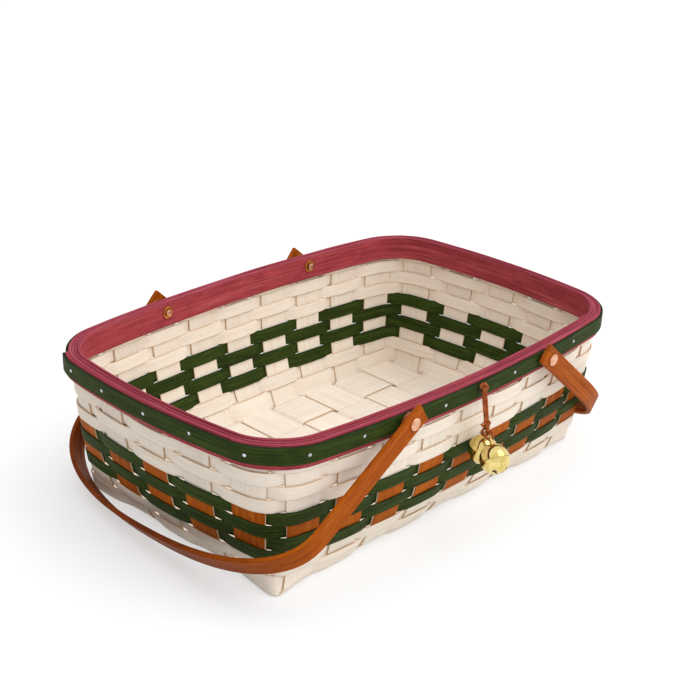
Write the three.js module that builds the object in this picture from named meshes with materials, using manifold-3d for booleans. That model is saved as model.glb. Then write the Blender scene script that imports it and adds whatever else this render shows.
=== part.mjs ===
// Gathering basket of woven wood splints, with two swing handles and a pair of bells.
// Millimetres. The origin is the middle of the base on the table, +Z is up,
// +X runs along the long side, and the long side with the bells faces -Y.
import * as THREE from 'three';
import { mergeVertices } from 'three/addons/utils/BufferGeometryUtils.js';
import ManifoldModule from 'manifold-3d';

const wasm = await ManifoldModule();
wasm.setup();

// Basket body
const rimTop = 155;
const baseHalfLength = 219;
const baseHalfWidth = 129.6;
const endFlare = 22.3;
const sideFlare = 15.6;
const rimHalfLength = baseHalfLength + endFlare;
const rimHalfWidth = baseHalfWidth + sideFlare;
const baseCorner = 8;
const rimCorner = 27.4;
const longSideBow = 18.2;
const shortSideBow = 14;
const flarePower = 1.4;
const bowPower = 5.1;
const gap = 0.3;

// Splints
const splintThick = 1.4;
const crossCount = 9;
const longCount = 5;
const crossHalf = (crossCount - 1) / 2;
const longHalf = (longCount - 1) / 2;
const crossFootInset = 24.6;
const crossRimInset = 29.7;
const longFootInset = 26.4;
const longRimInset = 27.8;
const crossPitchBase = (baseHalfLength - crossFootInset) / crossHalf;
const crossPitchRim = (rimHalfLength - crossRimInset) / crossHalf;
const longPitchBase = (baseHalfWidth - longFootInset) / longHalf;
const longPitchRim = (rimHalfWidth - longRimInset) / longHalf;
const uprightWidth = 33;
const crossBaseWidth = 41;
const longBaseWidth = 42;
const baseLift = splintThick + gap;
const crossMidZ = splintThick / 2 + baseLift;
const bendInset = 2.4;
const bendTop = crossMidZ + 2.4;
const uprightDrop = 5;
const uprightTop = rimTop - uprightDrop;

// Weavers
const weaverThick = 1.2;
const weaverCount = 11;
const weaverStart = 6.7;
const weaverPitch = 13.2;
const rowGap = 0.4;
const weaverHeight = weaverPitch - rowGap;
const weaverOffset = (splintThick + weaverThick) / 2 + gap;
const curvedRows = 4;
const cornerRow = 8;
const greenRows = [2, 3, 4, 5];

// Rim bands
const bandThick = 3;
const trimThick = 2.2;
const bandGap = 0.4;
const bandFace = weaverOffset + weaverThick / 2 + bandGap;
const outerBandHigh = rimTop - 1;
const outerBandTall = 22;
const outerBandLow = outerBandHigh - outerBandTall;
const innerBandTall = 26;
const innerBandLow = rimTop - innerBandTall;
const trimInset = 3.3;
const trimTall = 14.3;
const trimLow = outerBandLow + trimInset;
const trimHigh = trimLow + trimTall;
const bandBack = bandFace + bandThick;
const trimFace = bandBack + gap;
const trimBack = trimFace + trimThick;

// Swing handles
const pivotInset = 3.9;
const pivotX = 2 * crossPitchRim - pivotInset;
const pivotDrop = 11;
const pivotZ = rimTop - pivotDrop;
const strapWidth = 20.7;
const strapThick = 4.8;
const strapTail = 14.5;
const leftPast = 58.6;
const leftReach = rimHalfLength - pivotX + leftPast;
const leftLeg = 130;
const leftDrop = 39.6;
const leftTwist = 7.6;
const leftPower = 2.42;
const rightPast = 55;
const rightReach = rimHalfLength - pivotX + rightPast;
const rightLeg = 72;
const rightDrop = 39.6;
const rightTwist = 0;
const rightPower = 2.7;
const spacerThick = 3.2;
const spacerRadius = 9;
const spacerSink = 6;
const shankRadius = 2.2;
const holeRadius = shankRadius + gap;
const boreDepth = 36;
const boreClear = 8;
const headRadius = 6.15;
const headThick = 2;
const tailRadius = 3.6;
const washerRadius = 6.4;
const washerThick = 1.2;

// Bells
const bellX = -5.5;
const laceTopDrop = 7.5;
const laceTopZ = rimTop - laceTopDrop;
const laceDrop = 35;
const laceLean = THREE.MathUtils.degToRad(11);
const laceRadius = 1.3;
const laceSpread = 2.2;
const knotRadius = 4.2;
const bellRadius = 14.25;
const bellWall = 0.9;
const bellDrop = 29;
const bellAngle = Math.atan2(12.5, 7.1);
const bellLean = bellRadius + gap / 2;
const loopRadius = 3.5;
const loopWire = 0.9;
const loopCentre = bellRadius + 2.6;
const tieRadius = 4.5;
const tieWire = 1.1;
const tieCentre = loopCentre + 5.55;
const peaRadius = 3;

const splintLook = new THREE.MeshStandardMaterial({ color: 0xf0e2cc, roughness: 0.75 });
const greenLook = new THREE.MeshStandardMaterial({ color: 0x2f4425, roughness: 0.6 });
const redLook = new THREE.MeshStandardMaterial({ color: 0xa5404c, roughness: 0.6 });
const handleLook = new THREE.MeshStandardMaterial({ color: 0xae6224, roughness: 0.55 });
const copperLook = new THREE.MeshStandardMaterial({ color: 0xdc9c74, roughness: 0.35, metalness: 0.9 });
const brassLook = new THREE.MeshStandardMaterial({ color: 0xcdb055, roughness: 0.2, metalness: 1 });
const laceLook = new THREE.MeshStandardMaterial({ color: 0x9a5030, roughness: 0.8 });

const group = new THREE.Group();
group.name = 'gathering_basket';

function addPart(name, geometry, material) {
  geometry.computeVertexNormals();
  const mesh = new THREE.Mesh(geometry, material);
  mesh.name = name;
  group.add(mesh);
}

// A closed solid from corner points and triangles, turned to face out.
function makeSolid(points, faces) {
  let volume = 0;
  for (const [a, b, c] of faces) {
    const cross = new THREE.Vector3().crossVectors(points[b], points[c]);
    volume += points[a].dot(cross);
  }
  const index = [];
  for (const [a, b, c] of faces) {
    if (volume > 0) {
      index.push(a, b, c);
    } else {
      index.push(a, c, b);
    }
  }
  const geometry = new THREE.BufferGeometry();
  const flat = points.flatMap((p) => [p.x, p.y, p.z]);
  geometry.setAttribute('position', new THREE.Float32BufferAttribute(flat, 3));
  geometry.setIndex(index);
  return geometry;
}

// How far a line turns about the basket as it climbs. Facets of all layers of the wall
// are split along the line that turns more, so that the layers lie evenly on one another.
function turning(p, q) {
  const climb = q.z > p.z ? 1 : -1;
  return climb * (p.x * (q.y - p.y) - p.y * (q.x - p.x));
}

// A skin through equal rings of points. A closed run joins its last ring to its first.
function skin(rings, closed) {
  const count = rings[0].length;
  const points = rings.flat();
  const faces = [];
  const runs = closed ? rings.length : rings.length - 1;
  for (let i = 0; i < runs; i += 1) {
    const here = i * count;
    const next = ((i + 1) % rings.length) * count;
    for (let j = 0; j < count; j += 1) {
      const k = (j + 1) % count;
      if (turning(points[here + j], points[next + k]) >= turning(points[here + k], points[next + j])) {
        faces.push([here + j, next + j, next + k]);
        faces.push([here + j, next + k, here + k]);
      } else {
        faces.push([here + j, next + j, here + k]);
        faces.push([next + j, next + k, here + k]);
      }
    }
  }
  if (!closed) {
    const half = count / 2;
    const last = (rings.length - 1) * count;
    for (let j = 0; j < half - 1; j += 1) {
      const top = count - 1 - j;
      faces.push([j, j + 1, top - 1], [j, top - 1, top]);
      faces.push([last + j, last + top - 1, last + j + 1], [last + j, last + top, last + top - 1]);
    }
  }
  return makeSolid(points, faces);
}

// A solid turned about Z from a closed outline of radius and height pairs.
function turned(outline, segments) {
  const points = [];
  const rows = [];
  for (const [radius, height] of outline) {
    const row = [];
    for (let i = 0; i < segments; i += 1) {
      if (radius < 1e-6 && i > 0) {
        row.push(row[0]);
        continue;
      }
      const angle = (2 * Math.PI * i) / segments;
      row.push(points.length);
      points.push(new THREE.Vector3(radius * Math.cos(angle), radius * Math.sin(angle), height));
    }
    rows.push(row);
  }
  const faces = [];
  for (let r = 0; r < rows.length; r += 1) {
    const low = rows[r];
    const high = rows[(r + 1) % rows.length];
    for (let i = 0; i < segments; i += 1) {
      const k = (i + 1) % segments;
      if (low[i] !== low[k]) {
        faces.push([low[i], low[k], high[k]]);
      }
      if (high[i] !== high[k]) {
        faces.push([low[i], high[k], high[i]]);
      }
    }
  }
  return makeSolid(points, faces);
}

function welded(geometry) {
  geometry.deleteAttribute('normal');
  geometry.deleteAttribute('uv');
  return mergeVertices(geometry, 1e-4);
}

function toManifold(geometry) {
  const mesh = new wasm.Mesh({
    numProp: 3,
    vertProperties: new Float32Array(geometry.attributes.position.array),
    triVerts: new Uint32Array(geometry.index.array),
  });
  mesh.merge();
  return wasm.Manifold.ofMesh(mesh);
}

function fromManifold(solid) {
  const mesh = solid.getMesh();
  const geometry = new THREE.BufferGeometry();
  geometry.setAttribute('position', new THREE.Float32BufferAttribute(Array.from(mesh.vertProperties), 3));
  geometry.setIndex(Array.from(mesh.triVerts));
  return geometry;
}

function cut(geometry, cutters) {
  let solid = toManifold(geometry);
  for (const cutter of cutters) {
    solid = solid.subtract(toManifold(cutter));
  }
  return fromManifold(solid);
}

function join(first, second) {
  return fromManifold(toManifold(first).add(toManifold(second)));
}

function mix(low, high, t) {
  return low + (high - low) * t;
}

function rise(z) {
  return (z - crossMidZ) / (rimTop - crossMidZ);
}

// How far the wall has swung out at a share of its height: quickly near the base, then slower.
function swell(t, power) {
  return 1 - Math.max(1 - t, 0) ** power;
}

// Plan point on the wall's middle surface: side 0 front, 1 right, 2 back, 3 left.
function planPoint(side, s, z) {
  const t = rise(z);
  const flare = swell(t, flarePower);
  const bow = swell(t, bowPower);
  const a = mix(baseHalfLength, rimHalfLength, flare);
  const b = mix(baseHalfWidth, rimHalfWidth, flare);
  const r = mix(baseCorner, rimCorner, t);
  const reach = side % 2 === 0 ? a : b;
  const depth = side % 2 === 0 ? b : a;
  let along = s;
  let out = depth;
  const past = Math.abs(s) - (reach - r);
  if (past > 0) {
    const angle = past / r;
    along = Math.sign(s) * (reach - r + r * Math.sin(angle));
    out = depth - r + r * Math.cos(angle);
  }
  const x = [along, out, -along, -out][side];
  const y = [-out, along, out, -along][side];
  const bowX = (shortSideBow * bow) / a;
  const bowY = (longSideBow * bow) / b;
  return new THREE.Vector2(x * (1 + bowX * (1 - (y / b) ** 2)), y * (1 + bowY * (1 - (x / a) ** 2)));
}

// The same point moved out from the wall by an offset.
function wallPoint(side, s, z, offset) {
  const step = 0.5;
  const here = planPoint(side, s, z);
  const run = planPoint(side, s + step, z).sub(planPoint(side, s - step, z)).normalize();
  return new THREE.Vector3(here.x + run.y * offset, here.y - run.x * offset, z);
}

function uprightCentre(side, index, z) {
  const t = rise(z);
  const pitch = side % 2 === 0 ? mix(crossPitchBase, crossPitchRim, t) : mix(longPitchBase, longPitchRim, t);
  return index * pitch;
}

function cornerMid(side, z) {
  const t = rise(z);
  const flare = swell(t, flarePower);
  const long = side % 2 === 0;
  const reach = long ? mix(baseHalfLength, rimHalfLength, flare) : mix(baseHalfWidth, rimHalfWidth, flare);
  const r = mix(baseCorner, rimCorner, t);
  return reach - r + (r * Math.PI) / 4;
}

// Stations once around the wall: the two edges of every upright, the middle of
// each end upright, and the middle of each corner. Sign is +1 where an odd row runs outside.
const stations = [];
let sign = 1;
for (let side = 0; side < 4; side += 1) {
  const half = ((side % 2 === 0 ? crossCount : longCount) - 1) / 2;
  for (let index = -half; index <= half; index += 1) {
    const reach = uprightWidth / 2 + gap;
    const spots = Math.abs(index) === half ? [-reach, 0, reach] : [-reach, reach];
    for (const spot of spots) {
      const at = sign;
      stations.push({ side, sign: at, place: (z) => uprightCentre(side, index, z) + spot });
    }
    sign = -sign;
  }
  stations.push({ side, sign: 0, place: (z) => cornerMid(side, z) });
}

// A closed band through all the stations, following the wall at each of its levels.
function ringBand(levels, inner, outer, wave) {
  const rings = stations.map((station) => {
    const shift = wave * station.sign;
    const at = (z, offset) => wallPoint(station.side, station.place(z), z, offset + shift);
    const front = levels.map((z) => at(z, outer));
    const back = levels.map((z) => at(z, inner));
    return [...front, ...back.reverse()];
  });
  return skin(rings, true);
}

// Round holes for the four rivets, straight through the walls along Y.
function rod(radius, x, yFrom, yTo, z, segments) {
  const low = Math.min(yFrom, yTo);
  const high = Math.max(yFrom, yTo);
  const outline = [[0, low], [radius, low], [radius, high], [0, high]];
  const geometry = turned(outline, segments);
  geometry.rotateX(-Math.PI / 2);
  geometry.translate(x, 0, z);
  return geometry;
}

const pivots = [
  { name: 'left_front', x: -pivotX, face: -1 },
  { name: 'left_back', x: -pivotX, face: 1 },
  { name: 'right_front', x: pivotX, face: -1 },
  { name: 'right_back', x: pivotX, face: 1 },
];
const strapInner = -wallPoint(0, -pivotX, pivotZ, trimBack).y + spacerThick + gap;
const strapMid = strapInner + strapThick / 2;
const boreFrom = strapInner - boreDepth;
const boreTo = strapInner + strapThick + boreClear;
const holes = pivots.map((p) => rod(holeRadius, p.x, p.face * boreFrom, p.face * boreTo, pivotZ, 16));

// Splints: each runs up one wall, across the base and up the facing wall.
// The levels of an upright lie between the woven rows, so that both follow the wall alike.
// Where the wall curves most, low down and by the corners, a level lies at half a row too.
function wallLevels(atCorner) {
  const levels = [bendTop];
  for (let row = 0; row < weaverCount; row += 1) {
    const low = weaverStart + row * weaverPitch;
    levels.push(low - rowGap / 2);
    if (row < curvedRows || (atCorner && row >= cornerRow)) {
      levels.push(low + weaverHeight / 2);
    }
  }
  return [...levels.filter((z) => z < uprightTop), uprightTop];
}

// A splint by a corner is bent across its width, the others are flat.
function acrossSpots(side, index) {
  const last = side % 2 === 0 ? crossHalf : longHalf;
  return Math.abs(index) === last ? [-0.5, 0, 0.5] : [-0.5, 0.5];
}

function uprightRows(side, index) {
  const spots = acrossSpots(side, index);
  return wallLevels(spots.length > 2).map((z) => {
    const centre = uprightCentre(side, index, z);
    const half = splintThick / 2;
    const outer = spots.map((e) => wallPoint(side, centre + e * uprightWidth, z, half));
    const inner = spots.map((e) => wallPoint(side, centre + e * uprightWidth, z, -half));
    return [...outer, ...inner.reverse()];
  });
}

// One ring of a splint on the base, at a distance along it and a height.
function baseRing(side, spots, across, width, along, z) {
  const half = splintThick / 2;
  const place = (e, height) => {
    const w = across + e * width;
    return side === 0 ? new THREE.Vector3(w, along, height) : new THREE.Vector3(along, w, height);
  };
  const under = spots.map((e) => place(e, z - half));
  const over = spots.map((e) => place(e, z + half));
  return [...under, ...over.reverse()];
}

// The bend at the foot of an upright, tilted half way between base and wall.
function bendRing(side, spots, across, width, along, z, out) {
  const ring = baseRing(side, spots, across, width, along, z);
  const half = splintThick / 2;
  const turn = half * Math.SQRT1_2;
  return ring.map((p, i) => {
    const lower = i < spots.length;
    const slide = lower ? turn : -turn;
    const q = p.clone();
    q.z = z + (lower ? -turn : turn);
    if (side === 0) {
      q.y += out * slide;
    } else {
      q.x += out * slide;
    }
    return q;
  });
}

function splint(side, index, width, path) {
  const across = uprightCentre(side, index, crossMidZ);
  const reach = side === 0 ? baseHalfWidth : baseHalfLength;
  const rings = [];
  const firstSide = side === 0 ? 0 : 3;
  const lastSide = side === 0 ? 2 : 1;
  const spots = acrossSpots(side, index);
  const flip = (ring) => [...ring.slice(0, spots.length).reverse(), ...ring.slice(spots.length).reverse()];
  const firstIndex = side === 0 ? index : -index;
  const lastIndex = side === 0 ? -index : index;
  const up = uprightRows(firstSide, firstIndex).reverse();
  const down = uprightRows(lastSide, lastIndex);
  rings.push(...up.map((ring) => (side === 0 ? ring : flip(ring))));
  const foot = (uprightWidth + width) / 2;
  const lowZ = (path[0][1] + bendTop) / 2 - 0.55;
  rings.push(bendRing(side, spots, across, foot, -reach + 0.7, lowZ, -1));
  for (const [along, z] of path) {
    rings.push(baseRing(side, spots, across, width, along, z));
  }
  rings.push(bendRing(side, spots, across, foot, reach - 0.7, lowZ, 1));
  rings.push(...down.map((ring) => (side === 0 ? flip(ring) : ring)));
  return skin(rings, false);
}

for (let index = -crossHalf; index <= crossHalf; index += 1) {
  const edge = baseHalfWidth - bendInset;
  let geometry = splint(0, index, crossBaseWidth, [[-edge, crossMidZ], [edge, crossMidZ]]);
  if (Math.abs(index) === 2) {
    geometry = cut(geometry, holes);
  }
  addPart(`cross_splint_${index + crossHalf + 1}`, geometry, splintLook);
}

for (let index = -longHalf; index <= longHalf; index += 1) {
  const path = [];
  const edge = baseHalfLength - bendInset;
  for (let i = -crossHalf; i <= crossHalf; i += 1) {
    const over = (i + index) % 2 === 0 ? -1 : 1;
    const z = crossMidZ + over * baseLift;
    const reach = crossBaseWidth / 2 + gap;
    const low = Math.max(i * crossPitchBase - reach, -edge);
    const high = Math.min(i * crossPitchBase + reach, edge);
    path.push([low, z], [high, z]);
  }
  addPart(`long_splint_${index + longHalf + 1}`, splint(1, index, longBaseWidth, path), splintLook);
}

// Weavers, one closed ring to a row, each row taking the other side of every upright.
for (let row = 0; row < weaverCount; row += 1) {
  const low = weaverStart + row * weaverPitch;
  const half = weaverThick / 2;
  const wave = row % 2 === 0 ? -weaverOffset : weaverOffset;
  const middle = row < curvedRows || row >= cornerRow ? [low + weaverHeight / 2] : [];
  let geometry = ringBand([low, ...middle, low + weaverHeight], -half, half, wave);
  if (low + weaverHeight > pivotZ - holeRadius) {
    geometry = cut(geometry, holes);
  }
  addPart(`weaver_${row + 1}`, geometry, greenRows.includes(row) ? greenLook : splintLook);
}

// Rim bands
const innerLevels = [innerBandLow, (innerBandLow + rimTop) / 2, rimTop];
const outerLevels = [outerBandLow, trimLow, trimHigh, outerBandHigh];
addPart('inner_band', cut(ringBand(innerLevels, -bandBack, -bandFace, 0), holes), redLook);
addPart('outer_band', cut(ringBand(outerLevels, bandFace, bandBack, 0), holes), redLook);
addPart('trim_strip', cut(ringBand([trimLow, trimHigh], trimFace, trimBack, 0), holes), greenLook);

// Handles: a flat strap bent into a hoop, with a squared tail past each rivet.
function hoopPath(reach, leg, power) {
  const path = [[-strapMid, -strapTail], [-strapMid, leg]];
  const steps = 22;
  for (let i = 1; i < steps; i += 1) {
    const angle = (Math.PI * i) / steps;
    const c = Math.cos(angle);
    const s = Math.sin(angle);
    const y = -Math.sign(c) * strapMid * Math.abs(c) ** (2 / power);
    path.push([y, leg + (reach - leg) * s ** (2 / power)]);
  }
  path.push([strapMid, leg], [strapMid, -strapTail]);
  return path;
}

// The hoop is warped: its back leg hangs lower than its front leg by twice the twist.
function handle(side, drop, twist, reach, leg, power) {
  const path = hoopPath(reach, leg, power);
  const rings = path.map((spot, i) => {
    const angle = THREE.MathUtils.degToRad(drop + (twist * spot[0]) / strapMid);
    const along = new THREE.Vector3(side * Math.cos(angle), 0, -Math.sin(angle));
    const across = new THREE.Vector3(side * Math.sin(angle), 0, Math.cos(angle));
    const before = path[Math.max(i - 1, 0)];
    const after = path[Math.min(i + 1, path.length - 1)];
    const run = new THREE.Vector2(after[0] - before[0], after[1] - before[1]).normalize();
    const half = strapThick / 2;
    const corners = [[1, -1], [1, 1], [-1, 1], [-1, -1]];
    return corners.map(([thick, wide]) => {
      const y = spot[0] - run.y * thick * half;
      const d = spot[1] + run.x * thick * half;
      const p = new THREE.Vector3(side * pivotX, y, pivotZ);
      return p.addScaledVector(along, d).addScaledVector(across, (wide * strapWidth) / 2);
    });
  });
  return cut(skin(rings, false), holes);
}

const leftHandle = handle(-1, leftDrop, leftTwist, leftReach, leftLeg, leftPower);
const rightHandle = handle(1, rightDrop, rightTwist, rightReach, rightLeg, rightPower);
addPart('handle_left', leftHandle, handleLook);
addPart('handle_right', rightHandle, handleLook);

// Rivets, spacers and washers at the four pivots
const trimRoom = ringBand([trimLow - spacerSink, trimLow, trimHigh, trimHigh + spacerSink], -bandFace, trimBack + gap, 0);
for (const p of pivots) {
  const spacerFrom = strapInner - spacerThick - spacerSink;
  const spacer = rod(spacerRadius, p.x, p.face * spacerFrom, p.face * (strapInner - gap), pivotZ, 24);
  const bore = rod(holeRadius, p.x, p.face * boreFrom, p.face * boreTo, pivotZ, 16);
  addPart(`spacer_${p.name}`, cut(spacer, [trimRoom, bore]), handleLook);

  const side = p.face < 0 ? 0 : 2;
  const s = p.face < 0 ? p.x : -p.x;
  const seat = wallPoint(side, s, pivotZ, -bandBack - gap);
  const above = wallPoint(side, s, pivotZ + 1, -bandBack - gap);
  const inward = wallPoint(side, s, pivotZ, -bandBack - 1 - gap).sub(seat);
  const slope = new THREE.Vector3().subVectors(above, seat);
  const run = new THREE.Vector3().crossVectors(slope, inward);
  const facing = new THREE.Vector3().crossVectors(run, slope).normalize();
  const bore2 = holeRadius + 0.5;
  const ring = [[bore2, 0], [washerRadius, 0], [washerRadius - 0.3, washerThick], [bore2, washerThick]];
  const washer = turned(ring, 24);
  const turnTo = new THREE.Quaternion().setFromUnitVectors(new THREE.Vector3(0, 0, 1), facing);
  washer.applyQuaternion(turnTo);
  washer.translate(seat.x, seat.y, seat.z);
  addPart(`washer_${p.name}`, washer, brassLook);

  const inEnd = Math.abs(seat.y) - washerThick - 1.2;
  const outEnd = strapInner + strapThick + gap;
  const outline = [
    [0, inEnd - 1.6],
    [tailRadius * 0.7, inEnd - 1.3],
    [tailRadius, inEnd],
    [shankRadius, inEnd],
    [shankRadius, outEnd],
    [headRadius, outEnd],
    [headRadius, outEnd + headThick * 0.5],
    [headRadius * 0.7, outEnd + headThick * 0.9],
    [0, outEnd + headThick],
  ];
  const rivet = turned(outline, 20);
  rivet.rotateX((-p.face * Math.PI) / 2);
  rivet.translate(p.x, 0, pivotZ);
  addPart(`rivet_${p.name}`, rivet, copperLook);
}

// Bells on a leather lace, knotted on the trim at the middle of the front.
const laceY = wallPoint(0, bellX, laceTopZ, trimBack).y - gap - knotRadius;
const laceTop = new THREE.Vector3(bellX, laceY, laceTopZ);
const sideways = new THREE.Vector3(1, 0, 0);

// The back bell rests near the wall, so the lace and both bells lean out from the top knot.
function leaned(x, y, z) {
  return new THREE.Vector3(x, y, z).applyAxisAngle(sideways, -laceLean);
}

const laceLow = leaned(0, 0, -laceDrop).add(laceTop);

function knot(centre, stretch) {
  const ball = welded(new THREE.SphereGeometry(knotRadius, 14, 9));
  ball.scale(stretch, 1, 1);
  ball.translate(centre.x, centre.y, centre.z);
  return ball;
}

addPart('lace_knot_top', knot(laceTop, 1.15), laceLook);
addPart('lace_knot_low', knot(laceLow, 1.1), laceLook);
for (const way of [-1, 1]) {
  const trimEnd = Math.sqrt(knotRadius ** 2 - laceSpread ** 2) * 0.98 + gap + laceRadius * 0.5;
  const outline = [
    [0, trimEnd],
    [laceRadius, trimEnd],
    [laceRadius, laceDrop - trimEnd],
    [0, laceDrop - trimEnd],
  ];
  const strand = turned(outline, 10);
  strand.translate(way * laceSpread, 0, 0);
  strand.rotateX(-laceLean);
  strand.translate(laceLow.x, laceLow.y, laceLow.z);
  addPart(`lace_strand_${way < 0 ? 1 : 2}`, strand, laceLook);
}

function cup(up) {
  const seam = gap / 2;
  const inner = bellRadius - bellWall;
  const outline = [];
  const steps = 6;
  for (let i = 0; i <= steps; i += 1) {
    const angle = mix(Math.asin(seam / bellRadius), Math.PI / 2, i / steps);
    outline.push([i === steps ? 0 : bellRadius * Math.cos(angle), up * bellRadius * Math.sin(angle)]);
  }
  for (let i = steps; i >= 0; i -= 1) {
    const angle = mix(Math.asin(seam / inner), Math.PI / 2, i / steps);
    outline.push([i === steps ? 0 : inner * Math.cos(angle), up * inner * Math.sin(angle)]);
  }
  return turned(outline, 18);
}

for (const [number, way] of [[1, 1], [2, -1]]) {
  const asideX = way * bellLean * Math.cos(bellAngle);
  const asideY = way * bellLean * Math.sin(bellAngle);
  const centre = leaned(asideX, asideY, -bellDrop).add(laceLow);
  const toKnot = new THREE.Vector3().subVectors(laceLow, centre).normalize();
  const turnTo = new THREE.Quaternion().setFromUnitVectors(new THREE.Vector3(0, 0, 1), toKnot);
  const place = (geometry) => {
    geometry.applyQuaternion(turnTo);
    geometry.translate(centre.x, centre.y, centre.z);
    return geometry;
  };
  const loop = welded(new THREE.TorusGeometry(loopRadius, loopWire, 8, 18));
  loop.rotateX(Math.PI / 2);
  loop.translate(0, 0, loopCentre);
  addPart(`bell_${number}_top`, place(join(cup(1), loop)), brassLook);
  const slotA = welded(new THREE.BoxGeometry(bellRadius * 1.6, 2, bellRadius));
  slotA.translate(0, 0, -bellRadius * 1.05);
  const slotB = welded(new THREE.BoxGeometry(2, bellRadius * 1.6, bellRadius));
  slotB.translate(0, 0, -bellRadius * 1.05);
  addPart(`bell_${number}_bottom`, place(cut(cup(-1), [slotA, slotB])), brassLook);
  const tie = welded(new THREE.TorusGeometry(tieRadius, tieWire, 8, 18));
  tie.rotateY(Math.PI / 2);
  tie.translate(0, 0, tieCentre);
  addPart(`bell_${number}_tie`, place(tie), laceLook);
  const pea = welded(new THREE.SphereGeometry(peaRadius, 10, 7));
  pea.translate(0, 0, -(bellRadius - bellWall - peaRadius - 2 * gap));
  addPart(`bell_${number}_pea`, place(pea), brassLook);
}

export default group;
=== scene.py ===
import math

import bmesh
import bpy
from mathutils import Matrix, Vector, noise


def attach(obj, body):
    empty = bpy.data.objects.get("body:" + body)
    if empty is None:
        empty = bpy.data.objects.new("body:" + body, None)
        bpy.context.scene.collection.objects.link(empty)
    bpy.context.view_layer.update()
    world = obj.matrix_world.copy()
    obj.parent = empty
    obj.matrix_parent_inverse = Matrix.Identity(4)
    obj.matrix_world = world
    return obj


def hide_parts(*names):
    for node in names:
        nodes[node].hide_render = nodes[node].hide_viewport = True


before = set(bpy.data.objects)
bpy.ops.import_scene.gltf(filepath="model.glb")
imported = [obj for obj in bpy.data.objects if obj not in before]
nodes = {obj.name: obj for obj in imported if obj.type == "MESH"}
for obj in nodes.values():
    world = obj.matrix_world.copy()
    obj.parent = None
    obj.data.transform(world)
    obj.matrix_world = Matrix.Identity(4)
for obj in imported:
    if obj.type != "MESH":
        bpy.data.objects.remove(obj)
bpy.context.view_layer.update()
scene = bpy.context.scene
scene.view_settings.view_transform = "Standard"
MM = 0.001

# Sizes shared with the part's source, lengths in millimetres
RIM_TOP = 155.0
BASE_A, BASE_B = 219.0, 129.6
END_FLARE, SIDE_FLARE = 22.3, 15.6
RIM_A, RIM_B = BASE_A + END_FLARE, BASE_B + SIDE_FLARE
BASE_R = 8.0
LONG_BOW, SHORT_BOW = 18.2, 14.0
FLARE_POWER, BOW_POWER = 1.4, 5.1
GAP = 0.3
SPLINT_T = 1.4
CROSS_HALF, LONG_HALF = 4, 2
EACH_WAY = (CROSS_HALF, LONG_HALF, CROSS_HALF, LONG_HALF)
# Of the uprights, at the base and at the rim: inset of the outermost one, and pitch
CROSS_INSET, LONG_INSET = (24.6, 29.7), (26.4, 27.8)
CROSS_PITCH = ((BASE_A - CROSS_INSET[0]) / CROSS_HALF, (RIM_A - CROSS_INSET[1]) / CROSS_HALF)
LONG_PITCH = ((BASE_B - LONG_INSET[0]) / LONG_HALF, (RIM_B - LONG_INSET[1]) / LONG_HALF)
UPRIGHT_W = 33.0
LIFT = SPLINT_T + GAP
CROSS_Z = SPLINT_T / 2 + LIFT
BEND_INSET = 2.4
BEND_TOP = CROSS_Z + BEND_INSET
WEAVER_T = 1.2
WEAVER_COUNT = 11
WEAVER_START, WEAVER_PITCH, ROW_GAP = 6.7, 13.2, 0.4
WEAVER_H = WEAVER_PITCH - ROW_GAP
WEAVER_OFF = (SPLINT_T + WEAVER_T) / 2 + GAP
GREEN_ROWS = (2, 3, 4, 5)
BAND_T, TRIM_T, BAND_GAP = 3.0, 2.2, 0.4
BAND_FACE = WEAVER_OFF + WEAVER_T / 2 + BAND_GAP
BAND_BACK = BAND_FACE + BAND_T
TRIM_FACE = BAND_BACK + GAP
TRIM_BACK = TRIM_FACE + TRIM_T
OUTER_DROP, OUTER_TALL, INNER_TALL = 1, 22, 26
OUTER_HIGH = RIM_TOP - OUTER_DROP
OUTER_LOW = OUTER_HIGH - OUTER_TALL
INNER_LOW = RIM_TOP - INNER_TALL
TRIM_INSET, TRIM_TALL = 3.3, 14.3
TRIM_LOW = OUTER_LOW + TRIM_INSET
TRIM_HIGH = TRIM_LOW + TRIM_TALL
PIVOT_INSET, PIVOT_DROP = 3.9, 11
PIVOT_X, PIVOT_Z = 2 * CROSS_PITCH[1] - PIVOT_INSET, RIM_TOP - PIVOT_DROP
STRAP_W, STRAP_T, STRAP_TAIL = 20.7, 4.8, 14.5
LEFT_PAST, RIGHT_PAST = 58.6, 55
# Of each handle: its side, drop and twist in degrees, reach, straight leg, and squareness of the bend
HANDLES = {
    "handle_left": (-1, 39.6, 7.6, RIM_A - PIVOT_X + LEFT_PAST, 130.0, 2.42),
    "handle_right": (1, 39.6, 0.0, RIM_A - PIVOT_X + RIGHT_PAST, 72.0, 2.7),
}
SPACER_T = 3.2
SHANK_R, TAIL_R, WASHER_T = 2.2, 3.6, 1.2
BELL_X, LACE_TOP_DROP, LACE_DROP = -5.5, 7.5, 35.0
LACE_TOP_Z = RIM_TOP - LACE_TOP_DROP
LACE_LEAN = math.radians(11)
LACE_R, KNOT_R = 1.3, 4.2
BELL_R, BELL_WALL, BELL_DROP = 14.25, 0.9, 29.0
BELL_ANGLE = math.atan2(12.5, 7.1)
BELL_LEAN = BELL_R + GAP / 2
LOOP_R, LOOP_WIRE, LOOP_RISE = 3.5, 0.9, 2.6
TIE_R, TIE_WIRE, TIE_RISE = 4.5, 1.1, 5.55
LOOP_C = BELL_R + LOOP_RISE
TIE_C = LOOP_C + TIE_RISE

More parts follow.
